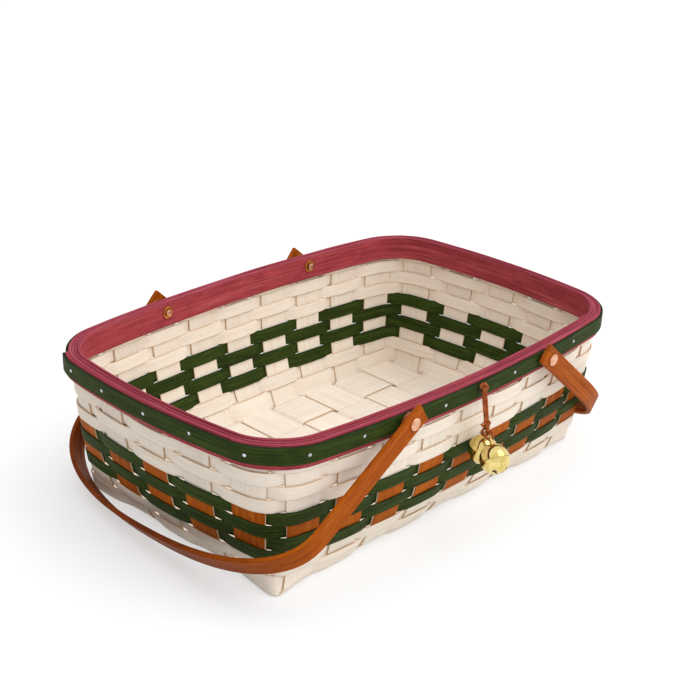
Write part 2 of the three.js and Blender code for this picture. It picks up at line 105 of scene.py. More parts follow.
# Sizes of the hand-made look alone, in millimetres
RIM_R = 43.0
FRONT_RISE = 0.8
CORNER_RISE, CORNER_SPREAD = 0.9, 62.0
FOOT_STEP, FOOT_SPREAD, FOOT_TALL = 6.0, 22.0, 34.0
CROSS_BASE_W, LONG_BASE_W, BASE_SHOULDER = 44.5, 47.5, 1.05
CROSS_FLAT = CROSS_BASE_W / 2 - BASE_SHOULDER
BEND_EXTRA_W, BEND_FADE = 2.0, 14.0
BEND_W = UPRIGHT_W + BEND_EXTRA_W
UPRIGHT_DROP, UPRIGHT_SWAY = 9, 0.5
UPRIGHT_TOP = RIM_TOP - UPRIGHT_DROP
ROW_OVERLAP, LOW_ROW_REACH, TOP_ROW_CUT = 1.0, 5.6, 5.0
ROW_WANDER, BAND_WANDER = 0.2, 0.35
BELL_CLEAR = 30.0
OUTER_REACH, TRIM_REACH = 1.8, 2.7
LAP_FROM, LAP_TO, LAP_T = -122.0, 108.0, 2.9
PROBE = 0.5
# Shares, powers and steps of the same look
FADE_POWER, LAP_POWER = 1.5, 1.2
ROW_BULGE, ROW_UNEVEN = 0.3, 0.018
WANDER_STEPS = 308


def mix(low, high, t):
    return low + (high - low) * t


def smooth(t):
    t = min(max(t, 0.0), 1.0)
    return t * t * (3 - 2 * t)


def turns(count):
    """Angles once round, in even steps."""
    return [2 * math.pi * i / count for i in range(count)]


# Shape of the wall

def rise(z):
    return (z - CROSS_Z) / (RIM_TOP - CROSS_Z)


def swell(t, power):
    """How far the wall has swung out at a share of its height: quickly near the base, then slower."""
    return 1 - max(1 - t, 0.0) ** power


def plan_sizes(z):
    """Half length, half width and corner radius of the wall at a height."""
    t = rise(z)
    flare = swell(t, FLARE_POWER)
    return mix(BASE_A, RIM_A, flare), mix(BASE_B, RIM_B, flare), mix(BASE_R, RIM_R, t)


def plan_point(side, s, z):
    """Plan point on the wall's middle surface: side 0 front, 1 right, 2 back, 3 left."""
    a, b, r = plan_sizes(z)
    bow = swell(rise(z), BOW_POWER)
    reach, depth = (a, b) if side % 2 == 0 else (b, a)
    along, out = s, depth
    past = abs(s) - (reach - r)
    if past > 0:
        angle = past / r
        along = math.copysign(reach - r + r * math.sin(angle), s)
        out = depth - r + r * math.cos(angle)
    x = (along, out, -along, -out)[side]
    y = (-out, along, out, -along)[side]
    bow_x, bow_y = SHORT_BOW * bow / a, LONG_BOW * bow / b
    return x * (1 + bow_x * (1 - (y / b) ** 2)), y * (1 + bow_y * (1 - (x / a) ** 2))


def wall_frame(side, s, z):
    """Point on the wall's middle surface, with the level directions out of it and along it."""
    x, y = plan_point(side, s, z)
    x1, y1 = plan_point(side, s + PROBE, z)
    x0, y0 = plan_point(side, s - PROBE, z)
    run = Vector((x1 - x0, y1 - y0, 0)).normalized()
    return Vector((x, y, z)), Vector((run.y, -run.x, 0)), run


def hand_lift(x, y):
    """How far the rim rises at a place. It stands highest at the left front corner."""
    far = (x + RIM_A) ** 2 + (y + RIM_B) ** 2
    front = FRONT_RISE * smooth(0.5 - y / RIM_B / 2)
    return front + CORNER_RISE * math.exp(-far / (2 * CORNER_SPREAD ** 2))


def foot(at):
    """A point moved out with the left front corner of the base, which is drawn into a foot."""
    far = (at.x + BASE_A) ** 2 + (at.y + BASE_B) ** 2
    fade = max(1 - at.z / FOOT_TALL, 0.0) ** FADE_POWER
    step = FOOT_STEP * math.exp(-far / (2 * FOOT_SPREAD ** 2)) * fade
    return Vector((at.x - step, at.y - step, at.z))


def wall_point(side, s, z, offset):
    at, out, _ = wall_frame(side, s, z)
    at.z += hand_lift(at.x, at.y) * max(z / RIM_TOP, 0.0) ** FADE_POWER
    return foot(at + out * offset)


def wall_normal(side, s, z):
    """The direction square out of the sloping wall."""
    _, out, run = wall_frame(side, s, z)
    up = (wall_point(side, s, z + 1, 0) - wall_point(side, s, z - 1, 0)).normalized()
    facing = run.cross(up).normalized()
    return facing if facing.dot(out) > 0 else -facing


def upright_centre(side, index, z):
    low, high = CROSS_PITCH if side % 2 == 0 else LONG_PITCH
    return index * mix(low, high, rise(z))


def corner_mid(side, z):
    a, b, r = plan_sizes(z)
    reach = a if side % 2 == 0 else b
    return reach - r + r * math.pi / 4


def follow(side, s, middle, z):
    """The place at another height of what is at s at the height middle, as the uprights spread apart."""
    pitch = upright_centre(side, 1, middle)
    number = round(s / pitch)
    return number * upright_centre(side, 1, z) + (s - pitch * number)


def ring_stations(z):
    """Once around the wall: side, place along it, and how far out an odd row is, in shares of its offset."""
    spots = []
    sign = 1
    reach = UPRIGHT_W / 2 + GAP
    for side, half in enumerate(EACH_WAY):
        for index in range(-half, half + 1):
            centre = upright_centre(side, index, z)
            for t in (-1.0, -0.66, -0.33, 0.0, 0.33, 0.66, 1.0):
                spots.append((side, centre + t * reach, sign * (1 + ROW_BULGE * (1 - t * t))))
            start = centre + reach
            if index < half:
                end = upright_centre(side, index + 1, z) - reach
                for t in (0.2, 0.4, 0.6, 0.8):
                    spots.append((side, mix(start, end, t), sign * (1 - 2 * smooth(t))))
            else:
                end = corner_mid(side, z)
                for t in (0.33, 0.67, 1.0):
                    spots.append((side, mix(start, end, t), sign * (1 - 2 * smooth(t / 2))))
                after = (side + 1) % 4
                start = -corner_mid(after, z)
                end = upright_centre(after, -EACH_WAY[after], z) - reach
                for t in (0.33, 0.67):
                    spots.append((after, mix(start, end, t), sign * (1 - 2 * smooth(0.5 + t / 2))))
            sign = -sign
    return spots


def ring_noise(seed, n, times):
    """Slow noise at a station of a ring, which comes round about once a ring."""
    angle = 2 * math.pi * n / WANDER_STEPS
    return noise.noise(Vector((seed, times * math.cos(angle), times * math.sin(angle))))


# Colour and material helpers

def srgb(r, g, b):
    def one(c):
        c /= 255.0
        return c / 12.92 if c <= 0.04045 else ((c + 0.055) / 1.055) ** 2.4
    return (one(r), one(g), one(b), 1.0)


def new_material(name):
    mat = bpy.data.materials.new(name)
    mat.use_nodes = True
    tree = mat.node_tree
    return mat, tree, tree.nodes["Principled BSDF"]


def add_node(tree, kind, **values):
    node = tree.nodes.new(kind)
    for key, value in values.items():
        setattr(node, key, value)
    return node


def feed(tree, value, socket):
    """A fixed value in a socket, or a link to it."""
    if isinstance(value, bpy.types.NodeSocket):
        tree.links.new(value, socket)
    else:
        socket.default_value = value


def fill(tree, node, **values):
    """Values for a node's sockets by their names."""
    for name, value in values.items():
        feed(tree, value, node.inputs[name])


def operate(tree, kind, operation, *values):
    node = add_node(tree, kind, operation=operation)
    for value, socket in zip(values, node.inputs):
        feed(tree, value, socket)
    return node.outputs


def math_node(tree, operation, *values):
    return operate(tree, "ShaderNodeMath", operation, *values)["Value"]


def vector_node(tree, operation, *values):
    return operate(tree, "ShaderNodeVectorMath", operation, *values)["Vector"]


def ramp(tree, value, stops):
    node = tree.nodes.new("ShaderNodeValToRGB")
    elements = node.color_ramp.elements
    while len(elements) < len(stops):
        elements.new(0.5)
    for element, (place, colour) in zip(elements, stops):
        element.position = place
        element.color = colour
    tree.links.new(value, node.inputs["Fac"])
    return node.outputs["Color"]


def noise_on(tree, vector, scale, detail, rough, distortion=0.0):
    node = tree.nodes.new("ShaderNodeTexNoise")
    fill(tree, node, Vector=vector, Scale=scale, Detail=detail, Roughness=rough, Distortion=distortion)
    return node.outputs["Fac"]


def mix_colour(tree, kind, factor, first, second):
    node = add_node(tree, "ShaderNodeMix", data_type="RGBA", blend_type=kind)
    for value, number in ((factor, 0), (first, 6), (second, 7)):
        feed(tree, value, node.inputs[number])
    return node.outputs[2]


def scale_colour(tree, colour, level):
    """A colour made lighter or darker by a level."""
    grey = tree.nodes.new("ShaderNodeCombineColor")
    for socket in grey.inputs[:3]:
        tree.links.new(level, socket)
    return mix_colour(tree, "MULTIPLY", 1.0, colour, grey.outputs["Color"])


def map_range(tree, value, from_low, from_high, to_low, to_high):
    node = tree.nodes.new("ShaderNodeMapRange")
    for socket, limit in zip(node.inputs[1:5], (from_low, from_high, to_low, to_high)):
        socket.default_value = limit
    tree.links.new(value, node.inputs[0])
    return node.outputs[0]


def paint(tree, shader, colour, rough):
    feed(tree, colour, shader.inputs["Base Color"])
    feed(tree, rough, shader.inputs["Roughness"])


def add_bump(tree, shader, height, strength, depth):
    relief = tree.nodes.new("ShaderNodeBump")
    fill(tree, relief, Strength=strength, Distance=depth, Height=height)
    tree.links.new(relief.outputs["Normal"], shader.inputs["Normal"])


def seen_directly(tree):
    """1 for what is seen straight on, or in metal or glass, and 0 for light that bounces on."""
    rays = tree.nodes.new("ShaderNodeLightPath").outputs
    seen = math_node(tree, "MAXIMUM", rays["Is Camera Ray"], rays["Is Glossy Ray"])
    return math_node(tree, "MAXIMUM", seen, rays["Is Transmission Ray"])


# Wood

# Of each noise in the grain: steps to a metre along and across, shift, detail, roughness and distortion
GRAIN_BANDS = (14.0, 520.0, 0.0, 5.0, 0.6, 0.4)
GRAIN_PORES = (60.0, 2600.0, 11.0, 3.0, 0.6, 0.0)
GRAIN_CLOUDS = (16.0, 60.0, 23.0, 3.0, 0.5, 0.0)
GRAIN_PATCHES = (45.0, 150.0, 31.0, 5.0, 0.65, 0.5)
PIECE_SHIFT = 37.0
# Colours a bend is multiplied by: white leaves the colour as it is, the second is painted shade for the left
# handle's lower bend.
UNSHADED, PAINTED_SHADE = (1.0, 1.0, 1.0, 1.0), (0.58, 0.52, 0.45, 1.0)


def piece_chance(tree):
    """A number from 0 to 1 of each piece's own."""
    return tree.nodes.new("ShaderNodeObjectInfo").outputs["Random"]


def strip_place(tree):
    """Strip coordinates: u along and v across, in metres."""
    return add_node(tree, "ShaderNodeUVMap", uv_map="grain").outputs["UV"]


def grain_noise(tree, along, across, shift, detail, rough, distortion):
    """Noise drawn out along the strip, moved by a different amount on each piece."""
    spread = math_node(tree, "MULTIPLY", piece_chance(tree), PIECE_SHIFT + shift)
    scaled = vector_node(tree, "MULTIPLY", strip_place(tree), (along, across, 1.0))
    moved = vector_node(tree, "ADD", scaled, spread)
    return noise_on(tree, moved, 1.0, detail, rough, distortion)


def wood(name, *shades, rough, bump, streaks, vary, spec, bend=None, mottle=0.0):
    """Split wood: long grain, soft bands, fine pores and a shade of its own on each piece.

    A bend gives four places along the strip: between the middle two the colour is darkened with painted
    shade.
    """
    mat, tree, shader = new_material(name)
    dark, mid, light, fleck = [srgb(*shade) for shade in shades]
    bands = grain_noise(tree, *GRAIN_BANDS)
    pores = grain_noise(tree, *GRAIN_PORES)
    clouds = grain_noise(tree, *GRAIN_CLOUDS)
    colour = ramp(tree, bands, [(0.28, dark), (0.5, mid), (0.74, light)])
    colour = mix_colour(tree, "MIX", map_range(tree, clouds, 0.3, 0.7, 0.0, 0.6), colour, mid)
    colour = mix_colour(tree, "MIX", map_range(tree, pores, 0.58, 0.76, 0.0, streaks), colour, fleck)
    tone = map_range(tree, piece_chance(tree), 0.0, 1.0, 1.0 - vary, 1.0 + vary * 0.35)
    colour = scale_colour(tree, colour, tone)
    if mottle:
        patches = grain_noise(tree, *GRAIN_PATCHES)
        blotch = map_range(tree, patches, 0.3, 0.7, 1.0 - mottle, 1.0 + mottle * 0.7)
        colour = scale_colour(tree, colour, blotch)
    # Painted shade: the strip is darkened along its bend, where the left handle's lower sweep lies in
    # shadow.
    if bend:
        split = tree.nodes.new("ShaderNodeSeparateXYZ")
        tree.links.new(strip_place(tree), split.inputs[0])
        shade = ramp(tree, split.outputs["X"], list(zip(bend, (UNSHADED, PAINTED_SHADE, PAINTED_SHADE, UNSHADED))))
        colour = mix_colour(tree, "MULTIPLY", 1.0, colour, shade)
    paint(tree, shader, colour, map_range(tree, bands, 0.2, 0.8, rough[1], rough[0]))
    height = math_node(tree, "MULTIPLY_ADD", pores, 0.6, bands)
    add_bump(tree, shader, height, strength=bump, depth=0.0004)
    shader.inputs["Specular IOR Level"].default_value = spec
    return mat


# Other materials

def object_vector(tree, scale=(1, 1, 1)):
    coords = tree.nodes.new("ShaderNodeTexCoord")
    return vector_node(tree, "MULTIPLY", coords.outputs["Object"], scale)


def metal(name, base, worn, rough, scale, bump):
    """Metal with faint tarnish, fine scratches and an uneven polish."""
    mat, tree, shader = new_material(name)
    spots = noise_on(tree, object_vector(tree), scale, 5.0, 0.6)
    fine = noise_on(tree, object_vector(tree, (1.0, 1.0, 0.25)), scale * 9, 2.0, 0.5)
    tint = ramp(tree, spots, [(0.35, worn), (0.6, base)])
    paint(tree, shader, tint, map_range(tree, spots, 0.3, 0.7, rough[1], rough[0]))
    add_bump(tree, shader, fine, strength=bump, depth=0.0002)
    shader.inputs["Metallic"].default_value = 1.0
    return mat


def leather(name, dark, mid, light):
    """Leather with a fine pebbled skin and worn spots."""
    mat, tree, shader = new_material(name)
    cells = tree.nodes.new("ShaderNodeTexVoronoi")
    fill(tree, cells, Scale=1600.0, Vector=object_vector(tree))
    spots = noise_on(tree, object_vector(tree, (1, 1, 0.4)), 420.0, 5.0, 0.6)
    tint = ramp(tree, spots, [(0.3, dark), (0.5, mid), (0.72, light)])
    paint(tree, shader, tint, map_range(tree, spots, 0.3, 0.7, 0.75, 0.5))
    add_bump(tree, shader, cells.outputs["Distance"], strength=0.4, depth=0.0003)
    shader.inputs["Specular IOR Level"].default_value = 0.15
    return mat


def turned_wood(name, dark, mid, light):
    """Wood of the small turned discs, with the grain across their axis."""
    mat, tree, shader = new_material(name)
    rings = noise_on(tree, object_vector(tree, (1.0, 0.15, 1.0)), 620.0, 4.0, 0.6, 0.6)
    tint = ramp(tree, rings, [(0.3, dark), (0.55, mid), (0.75, light)])
    paint(tree, shader, tint, 0.55)
    add_bump(tree, shader, rings, strength=0.25, depth=0.0003)
    return mat


# Each wood has its dark, middle and light grain and its flecks
SPLINT = wood("splint_wood", (236, 219, 199), (246, 234, 218), (251, 243, 231),
              (222, 198, 172), rough=(0.6, 0.8), bump=0.16, streaks=0.22, vary=0.07, spec=0.2,
              mottle=0.04)
# Darker edges of the cream splints: partly their own brown colour, partly painted shade where strips meet.
SPLINT_EDGE_AND_SHADE = wood("splint_edge_and_shade", (194, 160, 126), (216, 184, 150), (230, 203, 172),
                   (170, 130, 94), rough=(0.65, 0.8), bump=0.2, streaks=0.3, vary=0.1, spec=0.2)
GREEN = wood("green_stain", (24, 36, 10), (46, 62, 19), (72, 91, 31), (122, 132, 46),
             rough=(0.52, 0.7), bump=0.25, streaks=0.45, vary=0.14, spec=0.09, mottle=0.22)
# Darker edges of the green splints: partly their own colour, partly painted shade where strips meet.
GREEN_EDGE_AND_SHADE = wood("green_edge_and_shade", (12, 24, 8), (24, 42, 14), (40, 60, 22), (70, 84, 30),
                  rough=(0.6, 0.8), bump=0.2, streaks=0.3, vary=0.1, spec=0.15)
RED = wood("red_stain", (130, 40, 50), (168, 64, 72), (200, 100, 104), (112, 32, 44),
           rough=(0.58, 0.75), bump=0.25, streaks=0.42, vary=0.06, spec=0.14, mottle=0.24)
RED_EDGE = wood("red_edge", (122, 42, 56), (154, 64, 78), (180, 92, 104), (104, 32, 46),
                rough=(0.7, 0.85), bump=0.3, streaks=0.5, vary=0.06, spec=0.1)
HANDLE_STAIN = ((126, 54, 4), (168, 80, 7), (198, 106, 16), (98, 38, 4))
HANDLE_LOOK = dict(rough=(0.45, 0.6), bump=0.25, streaks=0.42, vary=0.06, mottle=0.2)
BROWN = wood("handle_stain", *HANDLE_STAIN, **HANDLE_LOOK, spec=0.1)
# The left handle's stain, darkened along its lower bend with painted shade.
BROWN_PAINTED_SHADE = wood("handle_stain_painted_shade", *HANDLE_STAIN, **HANDLE_LOOK, spec=0.08,
                  bend=(0.16, 0.30, 0.56, 0.68))
ACCENT = wood("accent_stain", (142, 64, 5), (175, 87, 7), (199, 111, 17), (110, 46, 3),
              rough=(0.5, 0.66), bump=0.22, streaks=0.35, vary=0.12, spec=0.1, mottle=0.22)
COPPER = metal("copper", srgb(240, 190, 155), srgb(205, 140, 105), rough=(0.28, 0.45), scale=260, bump=0.08)
BRASS = metal("bell_brass", srgb(236, 216, 144), srgb(216, 190, 108), rough=(0.06, 0.13), scale=120,
              bump=0.02)
GILT = metal("washer_brass", srgb(222, 150, 70), srgb(176, 104, 42), rough=(0.3, 0.45), scale=300, bump=0.08)
STEEL = metal("tack_steel", srgb(222, 222, 226), srgb(170, 170, 176), rough=(0.2, 0.35), scale=400,
              bump=0.05)
LEATHER = leather("lace_leather", srgb(112, 50, 18), srgb(162, 82, 36), srgb(194, 114, 58))
SPACER_WOOD = turned_wood("spacer_wood", srgb(120, 56, 18), srgb(165, 84, 30), srgb(188, 108, 46))


# Mesh helpers

def add_object(name, data):
    obj = bpy.data.objects.new(name, data)
    scene.collection.objects.link(obj)
    return obj


def mesh_object(name, points, faces, material, face_uv=None, sharp=0.6):
    mesh = bpy.data.meshes.new(name)
    mesh.from_pydata([tuple(p * MM for p in point) for point in points], [], faces)
    if face_uv is not None:
        layer = mesh.uv_layers.new(name="grain")
        layer.data.foreach_set("uv", [value for face in face_uv for uv in face for value in uv])
    mesh.validate()
    bm = bmesh.new()
    bm.from_mesh(mesh)
    bmesh.ops.recalc_face_normals(bm, faces=bm.faces)
    bm.to_mesh(mesh)
    bm.free()
    mesh.polygons.foreach_set("use_smooth", [True] * len(mesh.polygons))
    mesh.set_sharp_from_angle(angle=sharp)
    mesh.materials.append(material)
    return add_object(name, mesh)


def place(obj, body, slot, *stands_for):
    if stands_for:
        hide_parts(*stands_for)
    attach(obj, body)


def repaint(node, material):
    """A look for a solid that stays as it is."""
    looks = nodes[node].data.materials
    looks.clear()
    looks.append(material)


EDGE_H = 0.2


def strip_outline(edge, across):
    """Outline of a strip, v across and h through it, each from -0.5 to 0.5, with eased edges."""
    inner = 0.5 - edge
    spots = [mix(-inner, inner, i / (across - 1)) for i in range(across)]
    front = [(-0.5, EDGE_H)] + [(v, 0.5) for v in spots] + [(0.5, EDGE_H)]
    back = [(0.5, -EDGE_H)] + [(v, -0.5) for v in reversed(spots)] + [(-0.5, -EDGE_H)]
    return front + back


# Of each kind of strip: its outline, and the outline point along which its length is measured
UPRIGHT_OUTLINE, UPRIGHT_LINE = strip_outline(0.016, 9), 5
ACCENT_OUTLINE, ACCENT_LINE = strip_outline(0.03, 9), 5
WEAVER_OUTLINE, WEAVER_LINE = strip_outline(0.035, 5), 3
BAND_OUTLINE, BAND_LINE = strip_outline(0.04, 9), 3
STRAP_OUTLINE, STRAP_LINE = strip_outline(0.045, 7), 4


def skin(total, count, closed, seam=0):
    """Faces between rings of points, with a cap at each end or the last ring joined to the first."""
    faces = []
    for i in range(total if closed else total - 1):
        k = (i + 1) % total
        turn = seam if k == 0 else 0
        here, there = i * count, k * count
        for j in range(count):
            m = (j + 1) % count
            ahead = (there + (j + turn) % count, there + (m + turn) % count)
            faces.append((here + j, *ahead, here + m))
    if not closed:
        faces += [tuple(at * count + j for j in range(count)) for at in (0, total - 1)]
    return faces


def strip(name, rings, outline, line, width, material, edge=None, closed=False):
    """A strip skinned through rings of outline points, with a look of their own for its sawn edges: on the
    cream and green strips a darker colour, partly the edges' own and partly painted shade where strips meet.
    """
    count, total = len(outline), len(rings)
    runs = [0.0]
    for before, after in zip(rings, rings[1:] + rings[:1] if closed else rings[1:]):
        runs.append(runs[-1] + (after[line] - before[line]).length * MM)
    points = [point for ring in rings for point in ring]
    wide = width * MM
    edges = [v * wide for v, _ in outline]
    uvs = []
    for u0, u1 in zip(runs, runs[1:]):
        for v0, v1 in zip(edges, edges[1:] + edges[:1]):
            uvs.append(((u0, v0), (u1, v0), (u1, v1), (u0, v1)))
    if not closed:
        uvs += [tuple((u + h * MM, v * wide) for v, h in outline) for u in (runs[0], runs[-1])]
    piece = mesh_object(name, points, skin(total, count, closed), material, uvs)
    if edge is not None:
        piece.data.materials.append(edge)
        for polygon in piece.data.polygons:
            if any(abs(outline[index % count][1]) == EDGE_H for index in polygon.vertices):
                polygon.material_index = 1
    return piece


def revolve(name, outline, segments, material, axis, origin, sharp=0.5):
    """A turned piece. The outline gives radius and height; the height runs along axis from origin."""
    turn = Vector((0, 0, 1)).rotation_difference(axis)
    points, rows, faces = [], [], []
    for radius, height in outline:
        row = []
        for angle in turns(segments):
            if radius == 0 and row:
                row.append(row[0])
                continue
            row.append(len(points))
            local = Vector((radius * math.cos(angle), radius * math.sin(angle), height))
            points.append(origin + turn @ local)
        rows.append(row)
    for low, high in zip(rows, rows[1:] + rows[:1]):
        for i in range(segments):
            k = (i + 1) % segments
            face = tuple(dict.fromkeys((low[i], low[k], high[k], high[i])))
            if len(face) > 2:
                faces.append(face)
    return mesh_object(name, points, faces, material, sharp=sharp)


TUBE_SIDES, TUBE_SHARP = 10, 0.9


def seam_turn(first, last):
    """How many places the first ring of a closed tube is turned on from its last."""
    def apart(turn):
        return sum((first[(j + turn) % TUBE_SIDES] - last[j]).length for j in range(TUBE_SIDES))
    return min(range(TUBE_SIDES), key=apart)


def tube(name, path, radius, material, closed=True):
    """A round lace or wire along a path."""
    total = len(path)
    points = []
    normal = None
    for i, at in enumerate(path):
        before = path[i - 1] if closed or i else path[0]
        after = path[(i + 1) % total] if closed or i < total - 1 else path[-1]
        run = (after - before).normalized()
        if normal is None:
            normal = run.orthogonal().normalized()
        normal = (normal - run * normal.dot(run)).normalized()
        side = run.cross(normal)
        for angle in turns(TUBE_SIDES):
            points.append(at + normal * (radius * math.cos(angle)) + side * (radius * math.sin(angle)))
    seam = seam_turn(points[:TUBE_SIDES], points[-TUBE_SIDES:]) if closed else 0
    faces = skin(total, TUBE_SIDES, closed, seam)
    return mesh_object(name, points, faces, material, sharp=TUBE_SHARP)


# Camera, at the photograph's viewing angle

CAMERA_AT, LENS = (-0.97360, -0.87925, 0.71161), 74.18
YAW, PITCH, ROLL = 0.7322, -0.4206, 0.0504

camera_data = bpy.data.cameras.new("camera")
camera_data.sensor_width = 36.0
camera_data.lens = LENS
camera_data.clip_end = 60.0
camera = add_object("camera", camera_data)
camera.location = CAMERA_AT
look = Vector((math.cos(PITCH) * math.cos(YAW), math.cos(PITCH) * math.sin(YAW), math.sin(PITCH)))
level = look.cross(Vector((0, 0, 1))).normalized()
upward = level.cross(look)
right = level * math.cos(ROLL) + upward * math.sin(ROLL)
upward = upward * math.cos(ROLL) - level * math.sin(ROLL)
camera.rotation_euler = Matrix((right, upward, -look)).transposed().to_euler()
scene.camera = camera

# Lace of the bells: top knot on the trim, two strands, low knot with its loose end

KNOT_SIZE, KNOT_DEEP, KNOT_STEPS = 3.4, 0.5, 72
KNOT_TOP_RISE = 1.3
KNOT_TOP_R, KNOT_LOW_R, LOOSE_END_R = 1.5, 1.4, 1.25
LOOSE_END_STEPS = 6
LOOSE_END_FROM, LOOSE_END_TO = Vector((-1.5, 0, 1.0)), Vector((-8.5, -0.6, 1.0))
LOOSE_END_CURL = 1.6
STRAND_STEPS = 16
STRAND_BOW_ASIDE, STRAND_BOW_OUT = 0.4, 0.25
# Of a strand's upper and lower end: how far to its side, and how high above the middle of the knot
STRAND_HIGH, STRAND_LOW = (1.7, -1.6), (1.5, 2.2)
LEAN = Matrix.Rotation(-LACE_LEAN, 3, "X")
lace_y = wall_point(0, BELL_X, LACE_TOP_Z, TRIM_BACK).y - GAP - KNOT_R
lace_top = Vector((BELL_X, lace_y, LACE_TOP_Z))
lace_low = lace_top + LEAN @ Vector((0, 0, -LACE_DROP))


def knot_path(centre, turn, wide=1.0, tall=1.0):
    """A three-lobed knot that faces the front, turned about its middle."""
    spin = Matrix.Rotation(turn, 3, "Y")
    path = []
    for t in turns(KNOT_STEPS):
        x = (math.sin(t) + 2 * math.sin(2 * t)) / 3
        y = -math.sin(3 * t)
        z = (math.cos(t) - 2 * math.cos(2 * t)) / 3
        at = spin @ Vector((x * KNOT_SIZE * wide, y * KNOT_SIZE * KNOT_DEEP, z * KNOT_SIZE))
        path.append(centre + Vector((at.x, at.y, at.z * tall)))
    return path


def loose_end():
    """The short end of lace that comes out of the low knot at the left, curled up."""
    path = []
    for i in range(LOOSE_END_STEPS + 1):
        t = i / LOOSE_END_STEPS
        curl = Vector((0, 0, LOOSE_END_CURL * math.sin(2 * t)))
        path.append(lace_low + LOOSE_END_FROM.lerp(LOOSE_END_TO, t) + curl)
    return path


def strand(number, way):
    """One strand of the lace between the knots, with a slight bow."""
    name = f"lace_strand_{number}_cord"
    high = lace_top + LEAN @ Vector((way * STRAND_HIGH[0], 0, STRAND_HIGH[1]))
    low = lace_low + LEAN @ Vector((way * STRAND_LOW[0], 0, STRAND_LOW[1]))
    path = []
    for i in range(STRAND_STEPS + 1):
        t = i / STRAND_STEPS
        bow = math.sin(math.pi * t)
        path.append(high.lerp(low, t) + Vector((way * STRAND_BOW_ASIDE * bow, -STRAND_BOW_OUT * bow, 0)))
    data = bpy.data.curves.new(name, "CURVE")
    data.dimensions = "3D"
    data.bevel_depth = LACE_R * MM
    data.bevel_resolution = 3
    data.use_fill_caps = True
    data.materials.append(LEATHER)
    spline = data.splines.new("POLY")
    spline.points.add(STRAND_STEPS)
    for spot, at in zip(spline.points, path):
        spot.co = (*(at * MM), 1.0)
    cord = add_object(name, data)
    place(cord, "bell_lace", "lace", f"lace_strand_{number}")


top_path = knot_path(lace_top + Vector((0, 0, KNOT_TOP_RISE)), turn=0.4, tall=1.35)
place(tube("lace_knot_top_tied", top_path, KNOT_TOP_R, LEATHER), "basket", "lace", "lace_knot_top")
low_path = knot_path(lace_low, turn=1.3, wide=1.05)
place(tube("lace_knot_low_tied", low_path, KNOT_LOW_R, LEATHER), "bell_lace", "lace", "lace_knot_low")
place(tube("lace_knot_low_end", loose_end(), LOOSE_END_R, LEATHER, closed=False), "bell_lace", "lace")
strand(1, -1)
strand(2, 1)

# Bells

# Of the rolled lip at the seam: how far past the bell's radius, and how high
LIP = ((-BELL_WALL - 0.1, 0.16), (0.2, 0.16), (0.25, 0.4), (0.15, 0.75))
DOME_START, DOME_STEPS = 0.07, 14
SLOT_W, SLOT_HOLE_R, SLOT_REACH, SLOT_TURN = 1.7, 2.2, BELL_R * 0.55, 0.35
SLOT_DEPTH = BELL_R * 1.02
TIE_WIDE = TIE_R * 0.8
BELL_STEPS, BELL_SHARP = 48, 0.7
HOOP_STEPS, SLOT_HOLE_STEPS = 32, 20


def dome(radius, up):
    spots = []
    for i in range(1, DOME_STEPS):
        angle = mix(DOME_START, math.pi / 2, i / DOME_STEPS)
        spots.append((radius * math.cos(angle), up * radius * math.sin(angle)))
    return spots + [(0.0, up * radius)]


def cut_slot(cup, centre, axis, spin):
    """A slot with a round hole at each end, through the foot of a bell."""
    cutter = bmesh.new()
    bar = Matrix.Diagonal((2 * SLOT_REACH, SLOT_W, BELL_R, 1))
    bmesh.ops.create_cube(cutter, size=1.0, matrix=bar)
    for end in (-1, 1):
        hole = Matrix.Translation((end * SLOT_REACH, 0, 0))
        bmesh.ops.create_cone(cutter, cap_ends=True, segments=SLOT_HOLE_STEPS, radius1=SLOT_HOLE_R,
                              radius2=SLOT_HOLE_R, depth=BELL_R, matrix=hole)
    mesh = bpy.data.meshes.new("slot")
    cutter.to_mesh(mesh)
    cutter.free()
    turn = Vector((0, 0, 1)).rotation_difference(axis).to_matrix().to_4x4()
    where = Matrix.Translation(centre * MM) @ turn @ Matrix.Rotation(spin, 4, "Z")
    mesh.transform(where @ Matrix.Scale(MM, 4) @ Matrix.Translation((0, 0, -SLOT_DEPTH)))
    tool = add_object("slot", mesh)
    carve = cup.modifiers.new("slot", "BOOLEAN")
    carve.object = tool
    carve.operation = "DIFFERENCE"
    carve.solver = "EXACT"
    carve.use_self = True
    bpy.context.view_layer.objects.active = cup
    bpy.ops.object.modifier_apply(modifier="slot")
    bpy.data.objects.remove(tool)


def hoop(centre, axis, aside, height, tall, wide):
    """Points around an upright hoop whose middle is up the axis from centre."""
    path = []
    for angle in turns(HOOP_STEPS):
        path.append(centre + axis * (height + tall * math.sin(angle)) + aside * (wide * math.cos(angle)))
    return path


